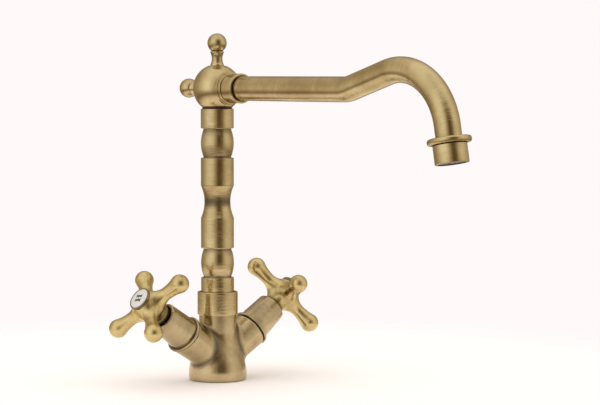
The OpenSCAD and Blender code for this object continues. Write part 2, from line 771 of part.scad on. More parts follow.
module handle(side, turn) {
    mid_r = skirt_r + 2.4;
    color(polished) on_valve(side) rotate([0, 0, turn]) difference() {
        union() {
            turned([
                [0, skirt_t], [skirt_r, skirt_t], [skirt_r, bonnet_front_t + 1.2], [skirt_r + 0.6, cross_t - 8],
                [mid_r, cross_t - 4], [mid_r, cross_t + 4], [index_r - 0.6, hub_top_t], [0, hub_top_t]
            ]);
            for (i = [0 : 3]) translate([0, 0, cross_t]) rotate([0, 0, 90 * i]) arm();
        }
        translate([0, 0, skirt_t - cut])
            linear_extrude(height = spline_top_t + 0.2 - skirt_t + cut) polygon(spline(thread_gap));
        bore(screw_r + thread_gap, spline_top_t, spline_top_t + web_t, cut);
        bore(counterbore_r, spline_top_t + web_t, hub_top_t);
        bore(index_shank_r + thread_gap, hub_top_t - index_shank_l - 0.2, hub_top_t, cut);
    }
}

module index_ring(side) {
    e = 0.5;
    top = hub_top_t + index_h;
    color(bronze) on_valve(side) difference() {
        union() {
            turned([
                [0, hub_top_t], [index_r - e, hub_top_t], [index_r, hub_top_t + e], [index_r, top - e],
                [index_r - e, top], [0, top]
            ]);
            bore(index_shank_r, hub_top_t - index_shank_l, hub_top_t + eps);
        }
        bore(index_disc_r + seal_gap, top - index_seat, top, cut);
        bore(index_shank_r - 1.5, hub_top_t - index_shank_l - cut, top);
    }
}

module index_disc(side) {
    base = hub_top_t + index_h - index_seat;
    edge = index_seat - 0.3;
    crown = [for (i = [0 : 6]) let (u = i / 6) [index_disc_r * (1 - u), base + edge + 0.6 * (1 - pow(1 - u, 2))]];
    color(white) on_valve(side) turned(concat([[0, base], [index_disc_r, base]], crown));
}

module handle_screw(side) {
    seat = spline_top_t + web_t;
    color(grey) on_valve(side) difference() {
        union() {
            bore(screw_r, spline_top_t - 10, seat + eps);
            bore(counterbore_r - 0.7, seat, seat + 2.6);
        }
        translate([0, 0, seat + 1]) cylinder(h = 3, d = 3, $fn = 6);
    }
}

mixer_body();
base_seal();
neck_collar();
column();
column_seal();
swivel_washer();
spout_grub_screw();
bonnet(-1);  // hot_bonnet
bonnet_seal(-1);  // hot_bonnet_seal
cartridge(-1);  // hot_cartridge
cartridge_seal(-1);  // hot_cartridge_seal
seat_seal(-1);  // hot_seat_seal
fixed_disc(-1);  // hot_fixed_disc
bonnet(1);  // cold_bonnet
bonnet_seal(1);  // cold_bonnet_seal
cartridge(1);  // cold_cartridge
cartridge_seal(1);  // cold_cartridge_seal
seat_seal(1);  // cold_seat_seal
fixed_disc(1);  // cold_fixed_disc
head_ball();
swivel_stem();
swivel_seals();
top_finial();
back_finial();
spout_nut();
spout_olive();
spout_tube();
outlet_flange();
aerator_shell();
aerator_insert();
aerator_washer();
handle(-1, hot_turn);  // hot_handle
index_ring(-1);  // hot_index_ring
index_disc(-1);  // hot_index_disc
handle_screw(-1);  // hot_handle_screw
spindle(-1, hot_turn);  // hot_spindle
moving_disc(-1);  // hot_moving_disc
spindle_seals(-1);  // hot_spindle_seals
spindle_clip(-1);  // hot_spindle_clip
handle(1, cold_turn);  // cold_handle
index_ring(1);  // cold_index_ring
index_disc(1);  // cold_index_disc
handle_screw(1);  // cold_handle_screw
spindle(1, cold_turn);  // cold_spindle
moving_disc(1);  // cold_moving_disc
spindle_seals(1);  // cold_spindle_seals
spindle_clip(1);  // cold_spindle_clip
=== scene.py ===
import bpy
import bmesh
import json
import numpy as np
from mathutils import Matrix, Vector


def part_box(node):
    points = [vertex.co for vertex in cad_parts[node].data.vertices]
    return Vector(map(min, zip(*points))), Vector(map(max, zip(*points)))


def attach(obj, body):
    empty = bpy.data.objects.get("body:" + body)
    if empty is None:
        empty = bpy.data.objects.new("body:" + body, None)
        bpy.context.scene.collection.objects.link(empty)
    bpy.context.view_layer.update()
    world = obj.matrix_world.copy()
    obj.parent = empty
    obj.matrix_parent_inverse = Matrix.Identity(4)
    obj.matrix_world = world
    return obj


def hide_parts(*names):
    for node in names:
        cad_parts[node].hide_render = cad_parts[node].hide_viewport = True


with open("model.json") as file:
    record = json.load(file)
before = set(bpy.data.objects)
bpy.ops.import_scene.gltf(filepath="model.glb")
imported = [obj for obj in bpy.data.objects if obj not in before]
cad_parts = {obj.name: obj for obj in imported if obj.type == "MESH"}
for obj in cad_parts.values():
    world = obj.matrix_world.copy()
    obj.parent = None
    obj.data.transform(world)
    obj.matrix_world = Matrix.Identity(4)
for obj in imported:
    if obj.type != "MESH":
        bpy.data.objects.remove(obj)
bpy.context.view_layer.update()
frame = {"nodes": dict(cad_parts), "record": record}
nodes = frame["nodes"]
record = frame["record"]
print("frame loaded:", len(nodes), "CAD nodes")

mm = 0.001
turnSteps = 128      # points round a turned piece


# ---- Surfaces ----

# A mesh from a grid of points with the shape (rows, columns, 3). Columns always wrap round. Rows wrap when
# loop is true; otherwise each end is closed by a fan of triangles to its own pole.
def gridPiece(name, points, finish, body, poles=None, loop=False, grain=None, hollow=None, crease=32,
              along=None):
    rows, columns = points.shape[:2]
    index = np.arange(rows * columns).reshape(rows, columns)
    here = index if loop else index[:-1]
    there = np.roll(index, -1, axis=0) if loop else index[1:]
    quads = np.stack([here, np.roll(here, -1, axis=1), np.roll(there, -1, axis=1), there], -1).reshape(-1, 4)
    vertices = points.reshape(-1, 3)
    faces = quads.tolist()
    if not loop:
        first, last = rows * columns, rows * columns + 1
        vertices = np.vstack([vertices, poles[0], poles[1]])
        start, end = index[0], index[-1]
        faces += np.stack([np.full(columns, first), np.roll(start, -1), start], -1).tolist()
        faces += np.stack([np.full(columns, last), end, np.roll(end, -1)], -1).tolist()
    return solidPiece(name, vertices, faces, finish, body, grain, hollow, crease, along)


# A mesh object from points and faces, turned the right way out by the sign of its volume
def solidPiece(name, vertices, faces, finish, body, grain=None, hollow=None, crease=32, along=None):
    corners = vertices[np.array([face[:3] for face in faces])]
    volume = np.einsum("ij,ij->i", corners[:, 0], np.cross(corners[:, 1], corners[:, 2])).sum()
    if len(faces[0]) == 4 or len(faces[-1]) == 4:
        fours = np.array([face for face in faces if len(face) == 4])
        a, b, c = vertices[fours[:, 0]], vertices[fours[:, 2]], vertices[fours[:, 3]]
        volume += np.einsum("ij,ij->i", a, np.cross(b, c)).sum()
    if volume < 0:
        faces = [face[::-1] for face in faces]
    mesh = bpy.data.meshes.new(name)
    mesh.from_pydata(vertices * mm, [], faces)
    mesh.shade_smooth()
    mesh.set_sharp_from_angle(angle=np.radians(crease))
    if grain is not None:
        storeAttribute(mesh, "grain", "FLOAT_VECTOR", grain * mm)
    if hollow is not None:
        storeAttribute(mesh, "hollow", "FLOAT", hollow)
    if along is not None:
        storeAttribute(mesh, "along", "FLOAT_VECTOR", along)
    mesh.materials.append(finish)
    piece = bpy.data.objects.new(name, mesh)
    bpy.context.scene.collection.objects.link(piece)
    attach(piece, body)
    return piece


def storeAttribute(mesh, name, kind, values):
    layer = mesh.attributes.new(name, kind, "POINT")
    missing = len(mesh.vertices) - len(values)
    if missing:      # the poles take the value of their neighbours in the grid
        values = np.concatenate([values, np.repeat(values[-1:], missing, axis=0)])
    layer.data.foreach_set("vector" if kind == "FLOAT_VECTOR" else "value", values.astype(np.float32).ravel())


# An outline of (radius, height, rounding) corners. Each rounded corner becomes the quadratic curve between the
# two points that lie its rounding before and after it.
def outline(corners, steps=5, wrap=False):
    corners = np.array([corner if len(corner) == 3 else (*corner, 0) for corner in corners], float)
    share = np.linspace(0, 1, steps + 1)[:, None]
    made = []
    for i, (radius, height, rounding) in enumerate(corners):
        point = np.array([radius, height])
        if rounding == 0 or (not wrap and i in (0, len(corners) - 1)):
            made.append(point[None])
            continue
        before = corners[i - 1][:2] - point
        after = corners[(i + 1) % len(corners)][:2] - point
        limit = 0.49 * min(np.hypot(*before), np.hypot(*after))
        start = point + before / np.hypot(*before) * min(rounding, limit)
        end = point + after / np.hypot(*after) * min(rounding, limit)
        made.append((1 - share) ** 2 * start + 2 * share * (1 - share) * point + share ** 2 * end)
    return np.vstack(made)


# Fills the long straight stretches of an outline with points no more than gap apart
def filled(points, gap=1.2, wrap=False):
    if wrap:
        points = np.vstack([points, points[:1]])
    along = np.concatenate([[0], np.cumsum(np.hypot(*np.diff(points, axis=0).T))])
    keep = np.concatenate([[True], np.diff(along) > 0.004])
    points, along = points[keep], along[keep]
    extra = np.arange(gap, along[-1], gap)
    far = np.abs(extra[:, None] - along[None]).min(axis=1) > 0.25 * gap
    every = np.sort(np.concatenate([along, extra[far]]))
    result = np.stack([np.interp(every, along, points[:, k]) for k in (0, 1)], -1)
    return result[:-1] if wrap else result


# How deep each point of an outline lies between wider points on both sides of it, from 0 to 1
def groovedness(points, reach=2.4, depth=1.8):
    ahead = points[None, :, 1] - points[:, None, 1]
    below = np.where((ahead <= 0) & (ahead > -reach), points[None, :, 0], 0).max(axis=1)
    above = np.where((ahead >= 0) & (ahead < reach), points[None, :, 0], 0).max(axis=1)
    return np.clip((np.minimum(below, above) - points[:, 0]) / depth, 0, 1)


# A turned piece: the outline carried round its axis. A point is origin + r cos(a) x + r sin(a) y + h z.
def turned(name, corners, place, finish, body, wrap=False, steps=turnSteps, crease=32, shape=None):
    points = filled(outline(corners, wrap=wrap), wrap=wrap)
    angle = np.linspace(0, 2 * np.pi, steps, endpoint=False)
    # The hollow darkens the grooves and, more weakly, the broad waists: partly patina, partly painted shade
    waists = groovedness(points, 15, 2.6)
    hollow = np.maximum(groovedness(points), 0.52 * waists)
    poles = None
    if not wrap:
        ends = points[[0, -1]]
        poles = place(np.stack([ends[:, 0] * 0, ends[:, 0] * 0, ends[:, 1]], -1))
        keep = points[:, 0] > 1e-6
        points, hollow = points[keep], hollow[keep]
    radius = np.repeat(points[:, :1], steps, axis=1)
    height = np.repeat(points[:, 1:], steps, axis=1)
    if shape is not None:
        radius = shape(radius, height, angle[None])
    local = np.stack([radius * np.cos(angle), radius * np.sin(angle), height], -1)
    grain = np.stack([height + len(name) * 31.7, local[..., 0], local[..., 1]], -1).reshape(-1, 3)
    along = place(np.array([[0, 0, 1.0]])) - place(np.array([[0, 0, 0.0]]))
    return gridPiece(name, place(local), finish, body, poles, wrap, grain,
                     np.repeat(hollow, steps), crease, np.repeat(along, len(grain), axis=0))


# A frame for turned pieces: an origin and the directions of its x, y and z
def frameAt(origin, x, y, z):
    axes = np.array([x, y, z], float)
    return lambda points: np.asarray(points) @ axes + np.array(origin, float)


# A closed surface from a field that is negative inside. The field is read on a lattice, every cell that the
# surface passes through gets one point, the points are evened out along the surface, and each one is moved
# down the field's slope until the field is zero there.
def fieldSurface(field, low, high, step):
    axes = [np.arange(low[k], high[k] + step, step) for k in range(3)]
    lattice = np.stack(np.meshgrid(*axes, indexing="ij"), -1)
    value = field(lattice)
    size = value.shape
    total = np.zeros((size[0] + 1, size[1] + 1, size[2] + 1, 3))
    count = np.zeros(total.shape[:3])
    edges = []
    for axis in range(3):
        low0 = tuple(slice(0, -1) if k == axis else slice(None) for k in range(3))
        high0 = tuple(slice(1, None) if k == axis else slice(None) for k in range(3))
        a, b = value[low0], value[high0]
        crossed = (a < 0) != (b < 0)
        share = np.where(crossed, a / np.where(crossed, a - b, 1), 0)
        point = lattice[low0] + share[..., None] * (lattice[high0] - lattice[low0])
        others = [k for k in range(3) if k != axis]
        for p in (0, 1):
            for q in (0, 1):
                window = [slice(1, size[axis])] * 3
                window[others[0]] = slice(p, p + size[others[0]])
                window[others[1]] = slice(q, q + size[others[1]])
                total[tuple(window)] += np.where(crossed[..., None], point, 0)
                count[tuple(window)] += crossed
        edges.append((axis, others, np.argwhere(crossed), a[crossed] < 0))
    number = np.full(count.shape, -1)
    used = count > 0
    number[used] = np.arange(used.sum())
    points = total[used] / count[used][:, None]
    quads = []
    for axis, others, where, leaving in edges:
        corner = where + np.eye(3, dtype=int)[axis]
        ring = []
        for p, q in ((0, 0), (1, 0), (1, 1), (0, 1)):
            cell = corner.copy()
            cell[:, others[0]] += p
            cell[:, others[1]] += q
            ring.append(number[tuple(cell.T)])
        ring = np.stack(ring, -1)
        turn = leaving if axis != 1 else ~leaving
        quads.append(np.where(turn[:, None], ring, ring[:, ::-1]))
    quads = np.vstack(quads)
    links = np.vstack([quads[:, [k, (k + 1) % 4]] for k in range(4)])
    degree = np.bincount(links.ravel(), minlength=len(points))[:, None]
    for _ in range(5):
        around = np.stack([np.bincount(links[:, 0], points[links[:, 1], k], len(points))
                           + np.bincount(links[:, 1], points[links[:, 0], k], len(points))
                           for k in range(3)], -1)
        points = ontoSurface(field, 0.4 * points + 0.6 * around / degree)
    return ontoSurface(field, ontoSurface(field, points)), quads


# One step down a field's slope, measured by differences, to where the field is zero
def ontoSurface(field, points, gap=0.02):
    value = field(points)
    change = [field(points + gap * axis) - field(points - gap * axis) for axis in np.eye(3)]
    slope = np.stack(change, -1) / (2 * gap)
    steep = (slope ** 2).sum(-1)
    return points - slope * (value / np.maximum(steep, 0.05))[:, None]


# The smooth join of two fields: their minimum, eased over the distance ease. The second value is how much of
# the ease is used, from 0 to 1.
def eased(a, b, ease):
    share = np.maximum(ease - np.abs(a - b), 0) / ease
    return np.minimum(a, b) - share ** 2 * ease / 4, share


def trimmed(a, b, ease):      # the smooth overlap of two fields
    share = np.maximum(ease - np.abs(a - b), 0) / ease
    return np.maximum(a, b) + share ** 2 * ease / 4


# ---- Materials ----

# A shader socket that can be added, multiplied and so on, each sum making its own Math node
class Wire:
    def __init__(self, finish, socket):
        self.finish = finish
        self.socket = socket

    def math(self, operation, first, second):
        return self.finish.node("ShaderNodeMath", {"operation": operation}, {0: first, 1: second})

    def __add__(self, other): return self.math("ADD", self, other)
    def __sub__(self, other): return self.math("SUBTRACT", self, other)
    def __mul__(self, other): return self.math("MULTIPLY", self, other)
    def __truediv__(self, other): return self.math("DIVIDE", self, other)


class Finish:
    def __init__(self, name):
        self.material = bpy.data.materials.new(name)
        self.material.use_nodes = True
        self.tree = self.material.node_tree
        self.tree.nodes.clear()

    # Makes a node of any type: its settings first, then values or wires on its sockets
    def node(self, kind, settings=None, inputs=None, out=0):
        made = self.tree.nodes.new(kind)
        for key, value in (settings or {}).items():
            if key == "stops":
                while len(made.color_ramp.elements) < len(value):
                    made.color_ramp.elements.new(0.5)
                for element, (position, colour) in zip(made.color_ramp.elements, value):
                    element.position = position
                    element.color = (*colour, 1)
            else:
                setattr(made, key, value)
        for key, value in (inputs or {}).items():
            if isinstance(value, Wire):
                self.tree.links.new(value.socket, made.inputs[key])
            else:
                made.inputs[key].default_value = value
        return Wire(self, made.outputs[out])

    def noise(self, vector, scale, detail=2.0, roughness=0.55):
        return self.node("ShaderNodeTexNoise", None,
                         {"Vector": vector, "Scale": scale, "Detail": detail, "Roughness": roughness})

    def stretched(self, vector, scale):
        return self.node("ShaderNodeVectorMath", {"operation": "MULTIPLY"}, {0: vector, 1: scale})

    def attribute(self, name, out):
        return self.node("ShaderNodeAttribute", {"attribute_name": name}, None, out)

    def between(self, share, low, high):      # 0 at low, 1 at high
        return self.node("ShaderNodeMapRange", None, {"Value": share, "From Min": low, "From Max": high})

    def mix(self, share, first, second):
        first, second = ((*c, 1) if not isinstance(c, Wire) else c for c in (first, second))
        return self.node("ShaderNodeMix", {"data_type": "RGBA"}, {0: share, 6: first, 7: second}, 2)

    def bump(self, height, distance, strength=1.0):
        return self.node("ShaderNodeBump", None, {"Height": height, "Distance": distance, "Strength": strength})

    def finishWith(self, **inputs):
        named = {key.replace("_", " "): value for key, value in inputs.items()}
        for key, value in named.items():
            if isinstance(value, tuple) and len(value) == 3:
                named[key] = (*value, 1)
        shader = self.node("ShaderNodeBsdfPrincipled", None, named)
        output = self.tree.nodes.new("ShaderNodeOutputMaterial")
        self.tree.links.new(shader.socket, output.inputs["Surface"])
        return self.material


# Aged brass: fine brushing round each turned piece, soft patches of tarnish, and dark brown in the grooves that is
# partly patina and partly painted shade
agedBrass = {
    "light": (0.61, 0.49, 0.26), "deep": (0.46, 0.35, 0.17), "patinaShadeColour": (0.095, 0.075, 0.055),
    "roughness": 0.18, "brushed": 0.05, "lineScale": 6500, "tilt": 0.6,
}


# The brush marks tilt the surface towards and away from the piece's axis by a fine noise that hardly changes
# round the piece, so that reflections are drawn out along the axis only
def brushedBrass(name, values):
    finish = Finish(name)
    grain = finish.attribute("grain", 1)
    hollow = finish.attribute("hollow", 2)
    lines = finish.noise(finish.stretched(grain, (1.0, 0.012, 0.012)), values["lineScale"], 1)
    bands = finish.noise(finish.stretched(grain, (1.0, 0.10, 0.10)), values["lineScale"] * 0.18, 2)
    patches = finish.noise(grain, 55, 3)
    tone = patches * 0.75 + bands * 0.15 + lines * 0.10
    colour = finish.mix(finish.between(tone, 0.38, 0.64), values["light"], values["deep"])
    # Grooves and waists take the dark colour and more roughness: partly patina, partly painted shade
    patinaShadeShare = finish.between(hollow + patches * 0.3, 0.25, 0.8)
    colour = finish.mix(patinaShadeShare, colour, values["patinaShadeColour"])
    rough = bands * values["brushed"] + patinaShadeShare * 0.25 + (values["roughness"] - 0.5 * values["brushed"])
    along = finish.node("ShaderNodeVectorTransform", {"vector_type": "VECTOR", "convert_from": "OBJECT",
                                                      "convert_to": "WORLD"}, {0: finish.attribute("along", 1)})
    lean = finish.node("ShaderNodeVectorMath", {"operation": "SCALE"},
                       {0: along, "Scale": (lines - 0.5) * values["tilt"]})
    normal = finish.node("ShaderNodeVectorMath", {"operation": "ADD"},
                         {0: finish.node("ShaderNodeNewGeometry", None, None, 1), 1: lean})
    normal = finish.node("ShaderNodeVectorMath", {"operation": "NORMALIZE"}, {0: normal})
    return finish.finishWith(Base_Color=colour, Metallic=1.0, Roughness=rough, Normal=normal)


def castBrass(name, values):
    finish = Finish(name)
    spot = finish.node("ShaderNodeTexCoord", None, None, 3)
    patches = finish.noise(spot, 60, 3)
    fine = finish.noise(finish.stretched(spot, (1.0, 1.0, values["stretch"])), values["fineScale"], 3)
    hollow = finish.attribute("hollow", 2)
    tone = patches * 0.7 + fine * 0.3
    colour = finish.mix(finish.between(tone, 0.40, 0.68), values["light"], values["deep"])
    # Creases and fillets take the dark colour: partly patina, partly painted shade
    patinaShadeShare = finish.between(hollow + patches * 0.4, 0.45, 1.25)
    colour = finish.mix(patinaShadeShare, colour, values["patinaShadeColour"])
    rough = fine * 0.10 + patinaShadeShare * 0.15 + (values["roughness"] - 0.05)
    return finish.finishWith(Base_Color=colour, Metallic=1.0, Roughness=rough,
                             Normal=finish.bump(fine, values["depth"]))


def plainFinish(name, values):
    finish = Finish(name)
    spot = finish.node("ShaderNodeTexCoord", None, None, 3)
    fine = finish.noise(spot, values["scale"], 3)
    colour = finish.mix(finish.between(fine, 0.3, 0.7), values["dark"], values["light"])
    return finish.finishWith(Base_Color=colour, Metallic=values["metallic"],
                             Roughness=fine * values["spread"] + values["roughness"],
                             Coat_Weight=values.get("coat", 0.0), Coat_Roughness=0.04,
                             Normal=finish.bump(fine, values["depth"]))


plainValues = {
    "bronze": {"dark": (0.20, 0.15, 0.095), "light": (0.33, 0.26, 0.17), "metallic": 1.0, "roughness": 0.26,
               "spread": 0.15, "scale": 900, "depth": 0.00001},
    "porcelain": {"dark": (0.86, 0.86, 0.85), "light": (0.90, 0.90, 0.89), "metallic": 0.0, "roughness": 0.12,
                  "spread": 0.06, "scale": 400, "depth": 0.000003, "coat": 0.6},
    "glyph": {"dark": (0.05, 0.045, 0.04), "light": (0.09, 0.08, 0.07), "metallic": 0.0, "roughness": 0.3,
              "spread": 0.1, "scale": 900, "depth": 0.000003},
    "ceramic": {"dark": (0.80, 0.77, 0.70), "light": (0.87, 0.85, 0.78), "metallic": 0.0, "roughness": 0.2,
                "spread": 0.1, "scale": 700, "depth": 0.000003},
    "rubber": {"dark": (0.012, 0.012, 0.012), "light": (0.03, 0.03, 0.03), "metallic": 0.0, "roughness": 0.55,
               "spread": 0.2, "scale": 1200, "depth": 0.00002},
    "washer_plastic": {"dark": (0.015, 0.015, 0.015), "light": (0.03, 0.03, 0.03), "metallic": 0.0,
                       "roughness": 0.4, "spread": 0.15, "scale": 1200, "depth": 0.00001},
    "insert_plastic": {"dark": (0.20, 0.20, 0.20), "light": (0.27, 0.27, 0.27), "metallic": 0.0,
                       "roughness": 0.4, "spread": 0.15, "scale": 1200, "depth": 0.00001},
    "steel": {"dark": (0.42, 0.42, 0.43), "light": (0.56, 0.56, 0.57), "metallic": 1.0, "roughness": 0.28,
              "spread": 0.15, "scale": 1200, "depth": 0.00001},
    "raw_brass": {"dark": (0.60, 0.46, 0.20), "light": (0.72, 0.57, 0.28), "metallic": 1.0, "roughness": 0.25,
                  "spread": 0.15, "scale": 1200, "depth": 0.00001},
    "inner_brass": {"dark": (0.40, 0.28, 0.12), "light": (0.52, 0.38, 0.17), "metallic": 1.0, "roughness": 0.35,
                    "spread": 0.15, "scale": 900, "depth": 0.00001},
}
turnedBrass = brushedBrass("turnedBrass", agedBrass)
tubeBrass = brushedBrass("tubeBrass", {**agedBrass, "tilt": 0.6})
sleeveBrass = brushedBrass("sleeveBrass", {**agedBrass, "light": (0.52, 0.415, 0.24), "deep": (0.37, 0.29, 0.165),
                                           "tilt": 0.9, "lineScale": 5200})
bodyBrass = castBrass("bodyBrass", {"light": (0.56, 0.445, 0.25), "deep": (0.40, 0.305, 0.16),
                                    "patinaShadeColour": (0.13, 0.105, 0.075), "roughness": 0.20, "fineScale": 380,
                                    "stretch": 10.0, "depth": 0.00002})
# The handles' dark colour is both patina in the creases and the painted shadow on the skirt inside the sleeve mouth
handleBrass = castBrass("handleBrass", {"light": (0.67, 0.54, 0.26), "deep": (0.53, 0.405, 0.17),
                                        "patinaShadeColour": (0.11, 0.08, 0.045), "roughness": 0.28, "fineScale": 500,
                                        "stretch": 1.0, "depth": 0.000012})
plain = {name: plainFinish(name, values) for name, values in plainValues.items()}
slotFinish = {"turned_brass": plain["inner_brass"], "body_brass": plain["inner_brass"],
              "handle_brass": plain["inner_brass"], **plain}
for entry in record["subparts"]:      # every CAD node gets its slot's material
    mesh = nodes[entry["node"]].data
    mesh.materials.clear()
    mesh.materials.append(slotFinish[entry["material_slot"]])
print("materials made")

# ---- Camera, floor and light ----

camera = {"azimuth": -41.28, "distance": 1900.8, "height": 261.9, "aside": 70.1, "pitch": 3.34, "lens": 134.57}
azimuth, pitch = np.radians(camera["azimuth"]), np.radians(camera["pitch"])
ahead = np.array([-np.sin(azimuth), np.cos(azimuth), 0])
right = np.array([np.cos(azimuth), np.sin(azimuth), 0])
up = np.array([0, 0, 1.0])
look = ahead * np.cos(pitch) - up * np.sin(pitch)
lensPlace = (right * camera["aside"] - ahead * camera["distance"] + up * camera["height"]) * mm
viewer = bpy.data.objects.new("viewer", bpy.data.cameras.new("viewer"))
viewer.data.lens = camera["lens"]
viewer.data.sensor_width = 36
viewer.data.clip_start, viewer.data.clip_end = 0.05, 50
turnedAxes = np.stack([right, np.cross(right, look), -look], -1)
viewer.matrix_world = Matrix.Translation(lensPlace.tolist()) @ Matrix(turnedAxes.tolist()).to_4x4()
bpy.context.scene.collection.objects.link(viewer)
bpy.context.scene.camera = viewer
bpy.context.scene.view_settings.view_transform = "Standard"

floorMaterial = Finish("floorPaint")
floorSpot = floorMaterial.node("ShaderNodeTexCoord", None, None, 3)
floorTone = floorMaterial.noise(floorSpot, 3, 1)
fromMiddle = floorMaterial.node("ShaderNodeVectorMath", {"operation": "LENGTH"}, {0: floorSpot}, 1)
floorFade = floorMaterial.node("ShaderNodeMapRange", {"interpolation_type": "SMOOTHSTEP"},
                               {"Value": fromMiddle, "From Min": 0.55, "From Max": 0.16})
floorMesh = bpy.data.meshes.new("floor")
floorMesh.from_pydata([(-0.6, -0.6, 0), (0.6, -0.6, 0), (0.6, 0.6, 0), (-0.6, 0.6, 0)], [], [(0, 1, 2, 3)])
floorMesh.materials.append(floorMaterial.finishWith(
    Base_Color=floorMaterial.mix(floorTone, (0.92, 0.88, 0.88), (0.93, 0.89, 0.89)), Roughness=0.8, Alpha=floorFade))
floor = bpy.data.objects.new("floor", floorMesh)
bpy.context.scene.collection.objects.link(floor)

# The room: how bright it is in each direction round the object, from behind it, past the left side to the
# lens's own side and on past the right side: soft white screens to both sides with darker, warmer gaps between
room = {"stops": [(0.0, 0.32), (0.14, 0.36), (0.22, 0.56), (0.31, 0.90), (0.37, 0.97), (0.42, 0.86), (0.48, 0.42),
                  (0.52, 0.13), (0.56, 0.11), (0.60, 0.24), (0.64, 0.58), (0.70, 0.77), (0.78, 0.68), (0.86, 0.44),
                  (1.0, 0.32)],
        "strength": 1.22, "above": 0.85, "below": 0.22, "seen": (1.0, 0.950, 0.950)}


def warmth(level):      # a dark gap is warmer than a white screen
    return (level, level * (0.71 + 0.29 * level), level * (0.36 + 0.64 * level))


world = bpy.data.worlds.new("studio")
bpy.context.scene.world = world
world.use_nodes = True
sky = Finish.__new__(Finish)
sky.tree = world.node_tree
sky.tree.nodes.clear()
heading = sky.node("ShaderNodeTexCoord", None, None, 0)
turnedHeading = sky.node("ShaderNodeVectorRotate", {"rotation_type": "Z_AXIS"},
                         {"Vector": heading, "Angle": -azimuth})
parts = sky.tree.nodes.new("ShaderNodeSeparateXYZ")
sky.tree.links.new(turnedHeading.socket, parts.inputs[0])
toRight, toAhead, height = (Wire(sky, parts.outputs[k]) for k in range(3))
around = sky.node("ShaderNodeMath", {"operation": "ARCTAN2"}, {0: toRight, 1: toAhead * -1.0}) / (2 * np.pi) + 0.5
stops = [(place, warmth(brightness)) for place, brightness in room["stops"]]
level = sky.node("ShaderNodeValToRGB", {"stops": stops}, {"Fac": around})
overhead = sky.between(height, 0.45, 0.95)
lit = sky.mix(overhead, level, warmth(room["above"]))
downward = sky.between(height, -0.06, -0.40)
lit = sky.mix(downward, lit, warmth(room["below"]))
glow = sky.node("ShaderNodeBackground", None, {"Color": lit, "Strength": room["strength"]})
plainSky = sky.node("ShaderNodeBackground", None, {"Color": (*room["seen"], 1), "Strength": 1.0})
seen = sky.node("ShaderNodeLightPath", None, None, 0)
both = sky.node("ShaderNodeMixShader", None, {0: seen, 1: glow, 2: plainSky})
skyOut = sky.tree.nodes.new("ShaderNodeOutputWorld")
sky.tree.links.new(both.socket, skyOut.inputs["Surface"])

# A broad soft sun straight above, which lights only the floor
floorLamp = bpy.data.objects.new("floorLamp", bpy.data.lights.new("floorLamp", "SUN"))
floorLamp.data.angle = np.radians(150)
floorLamp.data.energy = 1.4
bpy.context.scene.collection.objects.link(floorLamp)
onlyFloor = bpy.data.collections.new("onlyFloor")
onlyFloor.objects.link(floor)
floorLamp.light_linking.receiver_collection = onlyFloor
print("camera, floor and light set")


# ---- Column, collar and ball head ----

column = {"radius": 14.0, "edge": 0.7, "groove": 11.8, "grooveWidth": 1.6, "beadEnd": 12.0, "bead": 21.8,
          "waist": 11.0, "footDrumTop": 87.4, "lowerDrum": 0.335, "waistShare": 0.36, "headCollar": 16.6,
          "bottom": 62.0}
collar = {"inside": 15.9, "lip": 14.1, "lowRound": 0.7, "topRound": 0.9}


def boxOf(node):
    low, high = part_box(node)
    return np.array(low) / mm, np.array(high) / mm


# A bead or waist: a stretch whose radius is middle at its centre and end at both ends, along a parabola
def bow(low, high, end, middle, steps=14):
    share = np.linspace(-1, 1, steps + 1)
    return [(middle + (end - middle) * u * u, low + (high - low) * (u + 1) / 2) for u in share]


upright = frameAt((0, 0, 0), (1, 0, 0), (0, 1, 0), (0, 0, 1))
topZ, wide = boxOf("column")[1][2], column["radius"]
beadZ = column["footDrumTop"] + column["grooveWidth"]
balusterZ = beadZ + column["bead"] + column["grooveWidth"]
headZ = topZ - column["headCollar"]
upperBeadZ = headZ - column["grooveWidth"] - column["bead"]
balusterL = upperBeadZ - column["grooveWidth"] - balusterZ
waistZ = balusterZ + column["lowerDrum"] * balusterL
waistTop = waistZ + column["waistShare"] * balusterL
edge, groove = column["edge"], column["groove"]
columnOutline = (
    [(0, column["bottom"]), (wide, column["bottom"]), (wide, column["footDrumTop"], edge),
     (groove, column["footDrumTop"], 0.3), (groove, beadZ, 0.3)]
    + bow(beadZ, beadZ + column["bead"], column["beadEnd"], wide)
    + [(groove, beadZ + column["bead"], 0.3), (groove, balusterZ, 0.3), (wide, balusterZ, edge)]
    + bow(waistZ, waistTop, wide, column["waist"])
    + [(wide, upperBeadZ - column["grooveWidth"], edge), (groove, upperBeadZ - column["grooveWidth"], 0.3),
       (groove, upperBeadZ, 0.3)]
    + bow(upperBeadZ, upperBeadZ + column["bead"], column["beadEnd"], wide)
    + [(groove, headZ, 0.3), (wide, headZ, edge), (wide, topZ, edge),
       (0, topZ)])
columnPiece = turned("columnTurning", columnOutline, upright, turnedBrass, "fixed_body")
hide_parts("column")

collarLow, collarHigh = boxOf("neck_collar")
collarRadius = collarHigh[0]
collarPiece = turned("neckCollarRing", [
    (collar["inside"], collarLow[2], 0.3), (collarRadius, collarLow[2], collar["lowRound"]),
    (collarRadius, collarHigh[2], collar["topRound"]), (collar["lip"], collarHigh[2], 0.3),
    (collar["lip"], column["bottom"], 0), (collar["inside"], column["bottom"], 0)],
    upright, turnedBrass, "fixed_body", wrap=True)
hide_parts("neck_collar")

